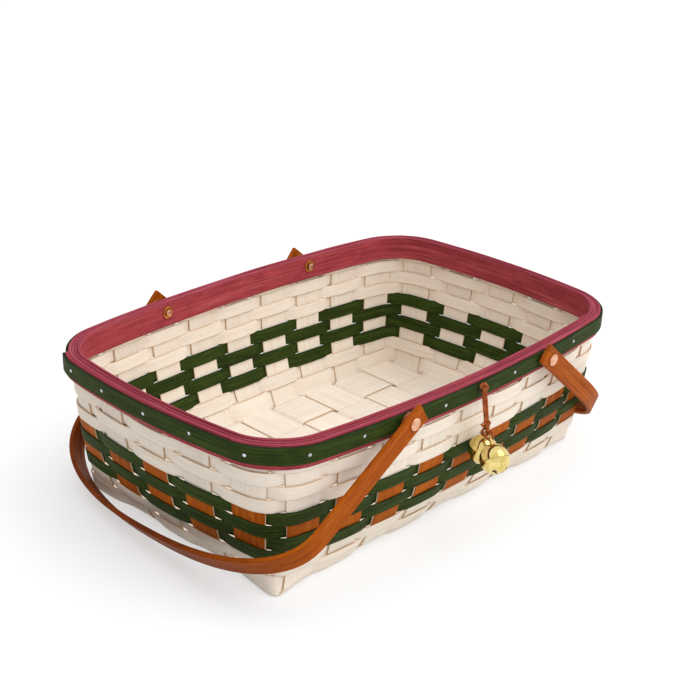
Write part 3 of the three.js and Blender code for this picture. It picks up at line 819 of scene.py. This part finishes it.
def bell(number, way):
    """Two cups, a wire loop and a leather tie, hung to one side of the low knot."""
    body = f"bell_{number}"
    aside = Vector((math.cos(BELL_ANGLE), math.sin(BELL_ANGLE), 0)) * (way * BELL_LEAN)
    centre = lace_low + LEAN @ (aside - Vector((0, 0, BELL_DROP)))
    axis = (lace_low - centre).normalized()
    for half, up in (("top", 1), ("bottom", -1)):
        lip = [(BELL_R + past, up * height) for past, height in LIP]
        outline = lip + dome(BELL_R, up) + dome(BELL_R - BELL_WALL, up)[::-1]
        cup = revolve(f"{body}_{half}_cup", outline, BELL_STEPS, BRASS, axis, centre, BELL_SHARP)
        if up < 0:
            cut_slot(cup, centre, axis, SLOT_TURN)
            cut_slot(cup, centre, axis, SLOT_TURN + math.pi / 2)
        place(cup, body, "brass", f"{body}_{half}")
    loop_way = axis.orthogonal().normalized()
    loop = hoop(centre, axis, loop_way, LOOP_C, LOOP_R, LOOP_R)
    place(tube(f"{body}_wire_loop", loop, LOOP_WIRE, BRASS), body, "brass")
    tie = hoop(centre, axis, axis.cross(loop_way), TIE_C, TIE_R, TIE_WIDE)
    place(tube(f"{body}_leather_tie", tie, TIE_WIRE, LEATHER), body, "lace", f"{body}_tie")
    repaint(f"{body}_pea", STEEL)


bell(1, 1)
bell(2, -1)

# Splints

WALL_STEPS, FLOOR_STEPS = 26, 12
WALL_FOOT, LEVEL_POWER = BEND_TOP + 0.6, 1.2
WALL_LEVELS = [mix(WALL_FOOT, UPRIGHT_TOP, (i / WALL_STEPS) ** LEVEL_POWER) for i in range(WALL_STEPS + 1)]
BEND_REACH, BEND_LEAST_R = BEND_TOP + 0.4, 1.0
SWAY_PACE = 0.03
FLAT_MARGIN = 0.2


def bend_radius(z):
    """Radius of the bend from the base into the wall, of a splint that lies at z."""
    return max(BEND_REACH - z, BEND_LEAST_R)


def floor_point(along_side, across, along, height):
    at = Vector((across, along, height)) if along_side == 0 else Vector((along, -across, height))
    return foot(at)


def wall_rings(side, index, seed, hand):
    """Rings of an upright from the bend to the rim, widest at the foot."""
    rings = []
    for z in WALL_LEVELS:
        wide = mix(BEND_W, UPRIGHT_W, smooth((z - BEND_TOP) / BEND_FADE))
        sway = UPRIGHT_SWAY * noise.noise(Vector((seed, z * SWAY_PACE, side)))
        centre = upright_centre(side, index, z) + sway
        rings.append([wall_point(side, centre + hand * v * wide, z, h * SPLINT_T)
                      for v, h in UPRIGHT_OUTLINE])
    return rings


def bend_rings(along_side, across, base_width, end, z):
    """Rings of a splint as it bends from the base up into the wall, at one end or the other."""
    reach = BASE_B if along_side == 0 else BASE_A
    radius = bend_radius(z)
    rings = []
    for degrees in (25, 50, 75):
        angle = math.radians(degrees)
        width = mix(base_width, BEND_W, degrees / 90)
        ring = []
        for v, h in UPRIGHT_OUTLINE:
            r = radius + h * SPLINT_T
            along = end * (reach - radius + r * math.sin(angle))
            height = z + radius - r * math.cos(angle)
            ring.append(floor_point(along_side, across + v * width, along, height))
        rings.append(ring)
    return rings


def splint(number, kind, along_side, index, base_width, path):
    """Up one wall, across the base along path, and up the facing wall."""
    first_side, last_side = (0, 2) if along_side == 0 else (3, 1)
    across = upright_centre(along_side, index, CROSS_Z)
    seed = index * 3.1 + along_side * 17.0
    rings = wall_rings(first_side, index, seed, 1)[::-1]
    rings += bend_rings(along_side, across, base_width, -1, path[0][1])[::-1]
    for along, z in path:
        rings.append([floor_point(along_side, across + v * base_width, along, z - h * SPLINT_T)
                      for v, h in UPRIGHT_OUTLINE])
    rings += bend_rings(along_side, across, base_width, 1, path[-1][1])
    rings += wall_rings(last_side, -index, seed, -1)
    name = f"{kind}_splint_{number}"
    piece = strip(f"{name}_wood", rings, UPRIGHT_OUTLINE, UPRIGHT_LINE, UPRIGHT_W, SPLINT, SPLINT_EDGE_AND_SHADE)
    place(piece, "basket", "splint", name)


def long_path(index):
    """Over and under the crosswise splints, as places along the base and heights."""
    path = []
    for i in range(-CROSS_HALF, CROSS_HALF + 1):
        z = CROSS_Z + (-1 if (i + index) % 2 == 0 else 1) * LIFT
        low = i * CROSS_PITCH[0] - CROSS_FLAT
        high = i * CROSS_PITCH[0] + CROSS_FLAT
        if path:
            before = path[-1]
            for t in (0.25, 0.5, 0.75):
                path.append((mix(before[0], low, t), mix(before[1], z, smooth(t))))
        flat_end = BASE_A - bend_radius(z) - FLAT_MARGIN
        path += [(spot, z) for spot in (low, mix(low, high, 0.5), high) if abs(spot) < flat_end]
    return path


cross_end = BASE_B - BEND_INSET
cross_path = [(mix(-cross_end, cross_end, i / FLOOR_STEPS), CROSS_Z) for i in range(FLOOR_STEPS + 1)]
for index in range(-CROSS_HALF, CROSS_HALF + 1):
    splint(index + CROSS_HALF + 1, "cross", 0, index, CROSS_BASE_W, cross_path)
for index in range(-LONG_HALF, LONG_HALF + 1):
    # The left wall runs the other way along Y, so the place of the splint there is mirrored.
    splint(index + LONG_HALF + 1, "long", 1, -index, LONG_BASE_W, long_path(index))

# Weavers


def weaver(row):
    """One woven row: out over every other upright and in behind the rest."""
    middle = WEAVER_START + row * WEAVER_PITCH + WEAVER_H / 2
    wave = -WEAVER_OFF if row % 2 == 0 else WEAVER_OFF
    top_row = row == WEAVER_COUNT - 1
    tall = WEAVER_H + ROW_OVERLAP
    if row == 0:
        # The lowest row reaches down to the bend of the uprights.
        tall += LOW_ROW_REACH
        middle -= LOW_ROW_REACH / 2
    if top_row:
        # The top row ends out of sight between the rim bands.
        tall = WEAVER_H - TOP_ROW_CUT
        middle -= TOP_ROW_CUT / 2
    rings = []
    for n, (side, s, out) in enumerate(ring_stations(middle)):
        if top_row or (side == 0 and abs(s - BELL_X) < BELL_CLEAR):
            # Flat between the rim bands, and behind the bells that swing against the wall.
            out = max(min(out, 1.0), -1.0)
        height = middle + ROW_WANDER * ring_noise(row * 5.3, n, 6)
        here = tall * (1 + ROW_UNEVEN * ring_noise(row * 9.1, n, 9))
        ring = []
        for v, h in WEAVER_OUTLINE:
            z = height + v * here
            ring.append(wall_point(side, follow(side, s, middle, z), z, wave * out + h * WEAVER_T))
        rings.append(ring)
    green = row in GREEN_ROWS
    name = f"weaver_{row + 1}"
    piece = strip(f"{name}_wood", rings, WEAVER_OUTLINE, WEAVER_LINE, WEAVER_H, GREEN if green else SPLINT,
                  GREEN_EDGE_AND_SHADE if green else SPLINT_EDGE_AND_SHADE, closed=True)
    place(piece, "basket", "green_splint" if green else "splint", name)


for row in range(WEAVER_COUNT):
    weaver(row)

# Brown accent strips over the uprights, on the outside of the green rows

ACCENT_STEPS = 24
ACCENT_INSET = 1.0
ACCENT_W = UPRIGHT_W - ACCENT_INSET
ACCENT_LOW = WEAVER_START + GREEN_ROWS[0] * WEAVER_PITCH
ACCENT_HIGH = WEAVER_START + (GREEN_ROWS[-1] + 1) * WEAVER_PITCH
ACCENT_TUCK, ACCENT_SHORT = 6, 2
# Where a row covers a strip, and what is added where it shows: its middle from the splint, and its thickness
ACCENT_OFF, ACCENT_T = 0.14, 0.2
SHOWN_OFF, SHOWN_T, SHOWN_POWER = 0.34, 0.5, 0.6


def accent_strip(number, side, index, even):
    """A strip that shows in the even rows or in the odd ones, and is thin where a row covers it."""
    shows_low = (GREEN_ROWS[0] % 2 == 0) == even
    low = ACCENT_LOW - ACCENT_TUCK if shows_low else ACCENT_LOW + ACCENT_SHORT
    high = ACCENT_HIGH - ACCENT_SHORT if shows_low else ACCENT_HIGH + ACCENT_TUCK
    rings = []
    for i in range(ACCENT_STEPS + 1):
        z = mix(low, high, i / ACCENT_STEPS)
        place_in_rows = (z - WEAVER_START) / WEAVER_PITCH
        row = math.floor(place_in_rows)
        shows = (row % 2 == 0) == even
        swelling = math.sin(math.pi * (place_in_rows - row)) ** SHOWN_POWER if shows else 0.0
        middle = SPLINT_T / 2 + ACCENT_OFF + SHOWN_OFF * swelling
        thick = ACCENT_T + SHOWN_T * swelling
        centre = upright_centre(side, index, z)
        rings.append([wall_point(side, centre + v * ACCENT_W, z, middle + h * thick)
                      for v, h in ACCENT_OUTLINE])
    piece = strip(f"accent_strip_{number}", rings, ACCENT_OUTLINE, ACCENT_LINE, UPRIGHT_W, ACCENT)
    place(piece, "basket", "handle_wood")


uprights = [(side, index) for side, half in enumerate(EACH_WAY) for index in range(-half, half + 1)]
for n, (side, index) in enumerate(uprights):
    accent_strip(n + 1, side, index, n % 2 == 0)

# Rim bands, with the lap of the outer band along the left end

LAP_STEPS = 48
LAP_W, LAP_TIP, LAP_LEAST, LAP_EASE = 23, 4, 0.05, 0.6
LAP_STEP = 0.3
REED_LOW, REED_SPLIT = RIM_TOP - 8, 0.2
REED_INNER_HIGH, REED_OUTER_HIGH = RIM_TOP - 1.6, RIM_TOP - 2.2


def lap(side, s):
    """Thickness of the lapped end under the trim: full at its square end at the back, none at the front."""
    if side == 3 and LAP_FROM <= s < LAP_TO:
        return LAP_T * (1 - (s - LAP_FROM) / (LAP_TO - LAP_FROM)) ** LAP_POWER
    return 0.0


def lap_stations(z):
    """The stations of a ring with two more, close together, at the square end of the lap."""
    spots = []
    for side, s, out in ring_stations(z):
        if side == 3 and s > LAP_FROM and spots[-1][0] == 3 and spots[-1][1] < LAP_FROM:
            spots += [(3, LAP_FROM - LAP_STEP, 0.0), (3, LAP_FROM, 0.0)]
        spots.append((side, s, out))
    return spots


def band(name, low, high, inner, outer, material, slot, *stands_for, lapped=False):
    """A ring of wood about the rim."""
    middle = (low + high) / 2
    rings = []
    for n, (side, s, _) in enumerate(lap_stations(middle) if lapped else ring_stations(middle)):
        extra = lap(side, s) if lapped else 0.0
        height = middle + BAND_WANDER * ring_noise(low, n, 4)
        ring = []
        for v, h in BAND_OUTLINE:
            z = height + v * (high - low)
            offset = (inner + outer) / 2 + h * (outer - inner) + extra
            ring.append(wall_point(side, follow(side, s, middle, z), z, offset))
        rings.append(ring)
    edge = RED_EDGE if material is RED else GREEN_EDGE_AND_SHADE
    piece = strip(name, rings, BAND_OUTLINE, BAND_LINE, high - low, material, edge, closed=True)
    place(piece, "basket", slot, *stands_for)


def outer_lap():
    """The end of the outer band, lapped over its start and thinned away toward the front."""
    rings = []
    for i in range(LAP_STEPS + 1):
        s = mix(LAP_FROM, LAP_TO - LAP_TIP, i / LAP_STEPS)
        thick = max(lap(3, s), LAP_LEAST)
        ring = []
        for v, h in BAND_OUTLINE:
            z = mix(OUTER_LOW - OUTER_REACH, OUTER_HIGH, v + 0.5) - v * LAP_EASE
            ring.append(wall_point(3, s, z, BAND_BACK + LAP_LEAST + (h + 0.5) * thick))
        rings.append(ring)
    piece = strip("outer_band_lap", rings, BAND_OUTLINE, BAND_LINE, LAP_W, RED)
    place(piece, "basket", "red_band")


band("inner_band_wood", INNER_LOW, RIM_TOP, -BAND_BACK, -BAND_FACE, RED, "red_band", "inner_band")
band("outer_band_wood", OUTER_LOW - OUTER_REACH, OUTER_HIGH, BAND_FACE, BAND_BACK, RED, "red_band",
     "outer_band")
band("trim_strip_wood", TRIM_LOW, TRIM_HIGH + TRIM_REACH, TRIM_FACE, TRIM_BACK, GREEN, "green_splint",
     "trim_strip", lapped=True)
# Stained reeds that fill the rim between the two bands, just below their tops
band("rim_reed_inner", REED_LOW, REED_INNER_HIGH, GAP - BAND_FACE, -REED_SPLIT, RED, "red_band")
band("rim_reed_outer", REED_LOW, REED_OUTER_HIGH, REED_SPLIT, BAND_FACE - GAP, RED, "red_band")
outer_lap()

# Tacks through the trim: their places along each side

TACKS = (
    (-209.0, -152.5, -52.5, 48.5, 153.0),
    (-112.0, -58.0, 2.0, 60.0, 114.0),
    (-206.0, -150.0, -50.0, 52.0, 148.0, 208.0),
    (-103.5, -53.5, 4.5, 60.5, 116.0),
)
TACK_HEAD = ((0.0, -0.6), (0.7, -0.6), (0.8, 0.0), (1.65, 0.05), (1.6, 0.3), (1.1, 0.6), (0.5, 0.75),
             (0.0, 0.8))
TACK_RISE, TACK_WANDER, TACK_SINK = 1.4, 0.8, 0.1
TACK_Z = (TRIM_LOW + TRIM_HIGH) / 2 + TACK_RISE
TACK_PHASE, TACK_STEPS = 2.4, 20

tack_spots = [(side, s) for side, spots in enumerate(TACKS) for s in spots]
for n, (side, s) in enumerate(tack_spots):
    z = TACK_Z + TACK_WANDER * math.sin(n * TACK_PHASE)
    seat = wall_point(side, s, z, TRIM_BACK + lap(side, s) - TACK_SINK)
    tack = revolve(f"tack_{n + 1}", TACK_HEAD, TACK_STEPS, STEEL, wall_normal(side, s, z), seat)
    place(tack, "basket", "copper")

# Handles

STRAP_INNER = -wall_point(0, -PIVOT_X, PIVOT_Z, TRIM_BACK).y + SPACER_T + GAP
STRAP_MID = STRAP_INNER + STRAP_T / 2
LEG_STEPS, ARC_STEPS = 16, 72
# Of the rounded ends: share of the thickness and of the width, and how far in they start
END_THICK, END_WIDE, END_INSET = 0.75, 0.93, 0.7


def hoop_path(reach, leg, power):
    """Along one leg, round the bend and back: places across the basket and distances from the pivots."""
    legs = [mix(-STRAP_TAIL, leg, i / LEG_STEPS) for i in range(LEG_STEPS + 1)]
    path = [(-STRAP_MID, d) for d in legs]
    for i in range(1, ARC_STEPS):
        angle = math.pi * i / ARC_STEPS
        c, s = math.cos(angle), math.sin(angle)
        y = -math.copysign(STRAP_MID * abs(c) ** (2 / power), c)
        path.append((y, leg + (reach - leg) * s ** (2 / power)))
    return path + [(STRAP_MID, d) for d in reversed(legs)]


def handle(name, side, drop, twist, reach, leg, power):
    """A bent strap that hangs from its pivots, down to the outside of one end."""
    path = hoop_path(reach, leg, power)
    pivot = Vector((side * PIVOT_X, 0, PIVOT_Z))
    last = len(path) - 1

    def ring(i, thick=1.0, wide=1.0, inset=0.0):
        y, d = path[i]
        y0, d0 = path[max(i - 1, 0)]
        y1, d1 = path[min(i + 1, last)]
        run = Vector((y1 - y0, d1 - d0)).normalized()
        angle = math.radians(drop + twist * y / STRAP_MID)
        along = Vector((side * math.cos(angle), 0, -math.sin(angle)))
        across = Vector((side * math.sin(angle), 0, math.cos(angle)))
        spots = []
        for v, h in STRAP_OUTLINE:
            h = h * STRAP_T * thick
            middle = pivot + along * (d + run.x * h + inset) + Vector((0, y - run.y * h, 0))
            spots.append(middle + across * (v * STRAP_W * wide))
        return spots

    rings = [ring(0, END_THICK, END_WIDE), ring(0, inset=END_INSET)]
    rings += [ring(i) for i in range(1, last)]
    rings += [ring(last, inset=END_INSET), ring(last, END_THICK, END_WIDE)]
    # The left handle gets the stain with painted shade on its bend; the right one gets the plain stain.
    stain_and_painted_shade = BROWN_PAINTED_SHADE if side < 0 else BROWN
    strap = strip(f"{name}_strap", rings, STRAP_OUTLINE, STRAP_LINE, STRAP_W, stain_and_painted_shade)
    place(strap, name, "handle_wood", name)


for name, sizes in HANDLES.items():
    handle(name, *sizes)

# Rivets, washers and spacers

WASHER = ((2.9, 0.0), (6.2, 0.0), (6.4, 0.2), (6.3, 0.75), (5.6, 1.05), (3.6, WASHER_T), (2.9, 1.1))
# Radius and height of the domed ends of a rivet, from where each one seats
RIVET_TAIL = ((0.0, -1.6), (1.3, -1.55), (2.6, -1.25), (3.4, -0.7), (TAIL_R, 0.0))
RIVET_HEAD = ((5.9, 0.0), (6.15, 0.3), (6.1, 0.8), (5.6, 1.3), (4.4, 1.65), (2.4, 1.9), (0.0, 2.0))
WASHER_TILT_ROOM = 1.2
TURNED_STEPS = 40


def rivet(label, x, face):
    """A copper rivet through the rim and strap, and the brass washer under its tail."""
    side, s = (0, x) if face < 0 else (2, -x)
    seat = wall_point(side, s, PIVOT_Z, -BAND_BACK - GAP)
    seat.z = PIVOT_Z
    inward = -wall_normal(side, s, PIVOT_Z)
    washer = revolve(f"washer_{label}_disc", WASHER, TURNED_STEPS, GILT, inward, seat)
    place(washer, "basket", "brass", f"washer_{label}")
    tail = abs(seat.y) - WASHER_T - WASHER_TILT_ROOM
    head = STRAP_INNER + STRAP_T + GAP
    outline = [(radius, tail + height) for radius, height in RIVET_TAIL]
    outline += [(SHANK_R, tail), (SHANK_R, head)]
    outline += [(radius, head + height) for radius, height in RIVET_HEAD]
    pin = revolve(f"rivet_{label}_copper", outline, TURNED_STEPS, COPPER, Vector((0, face, 0)),
                  Vector((x, 0, PIVOT_Z)))
    place(pin, "basket", "copper", f"rivet_{label}")
    repaint(f"spacer_{label}", SPACER_WOOD)


for end, x in (("left", -PIVOT_X), ("right", PIVOT_X)):
    rivet(f"{end}_front", x, -1)
    rivet(f"{end}_back", x, 1)

# Floor and studio light

WHITE = (1.0, 1.0, 1.0, 1.0)
FLOOR_HALF, FLOOR_DROP = 9.0, 0.0004
FLOOR_LIT, FLOOR_SEEN = (0.78, 0.78, 0.78, 1.0), (0.98, 0.98, 0.98, 1.0)
FLOOR_GLOW = 0.5
# The light of the sky: how it grows toward the upper right front, its middle level and its least
SKY_SLOPE, SKY_LEVEL, SKY_LEAST = (0.44, -0.42, 1.12), 0.36, 0.04
SUN_STRENGTH, SUN_WIDE, SUN_WAY = 0.5, math.radians(40), Vector((-0.4, 0.55, -1.0))


def blend_shaders(tree, factor, first, second, end):
    node = tree.nodes.new("ShaderNodeMixShader")
    for value, socket in zip((factor, first, second), node.inputs):
        tree.links.new(value, socket)
    tree.links.new(node.outputs[0], tree.nodes[end].inputs["Surface"])


def white_light(tree, kind):
    node = tree.nodes.new(kind)
    fill(tree, node, Color=WHITE, Strength=1.0)
    return node.outputs[0]


floor_look, tree, shader = new_material("floor_white")
shader.inputs["Specular IOR Level"].default_value = 0.0
seen = seen_directly(tree)
paint(tree, shader, mix_colour(tree, "MIX", seen, FLOOR_LIT, FLOOR_SEEN), 0.9)
glow = math_node(tree, "MULTIPLY", seen, FLOOR_GLOW)
blend_shaders(tree, glow, shader.outputs[0], white_light(tree, "ShaderNodeEmission"), "Material Output")
floor_mesh = bpy.data.meshes.new("floor")
corners = [(x * FLOOR_HALF, y * FLOOR_HALF, 0) for x, y in ((-1, -1), (1, -1), (1, 1), (-1, 1))]
floor_mesh.from_pydata(corners, [], [(0, 1, 2, 3)])
floor_mesh.materials.append(floor_look)
floor = add_object("floor", floor_mesh)
floor.location.z = -FLOOR_DROP

world = bpy.data.worlds.new("studio")
scene.world = world
world.use_nodes = True
tree = world.node_tree
sky = tree.nodes["Background"]
sky.inputs["Color"].default_value = WHITE
way = tree.nodes.new("ShaderNodeTexCoord").outputs["Generated"]
slope = operate(tree, "ShaderNodeVectorMath", "DOT_PRODUCT", way, SKY_SLOPE)["Value"]
strength = math_node(tree, "MAXIMUM", math_node(tree, "ADD", slope, SKY_LEVEL), SKY_LEAST)
tree.links.new(strength, sky.inputs["Strength"])
backdrop = white_light(tree, "ShaderNodeBackground")
blend_shaders(tree, seen_directly(tree), sky.outputs[0], backdrop, "World Output")

sun = bpy.data.lights.new("key", "SUN")
sun.energy = SUN_STRENGTH
sun.angle = SUN_WIDE
sun_object = add_object("key", sun)
sun_object.rotation_euler = SUN_WAY.to_track_quat("-Z", "Y").to_euler()
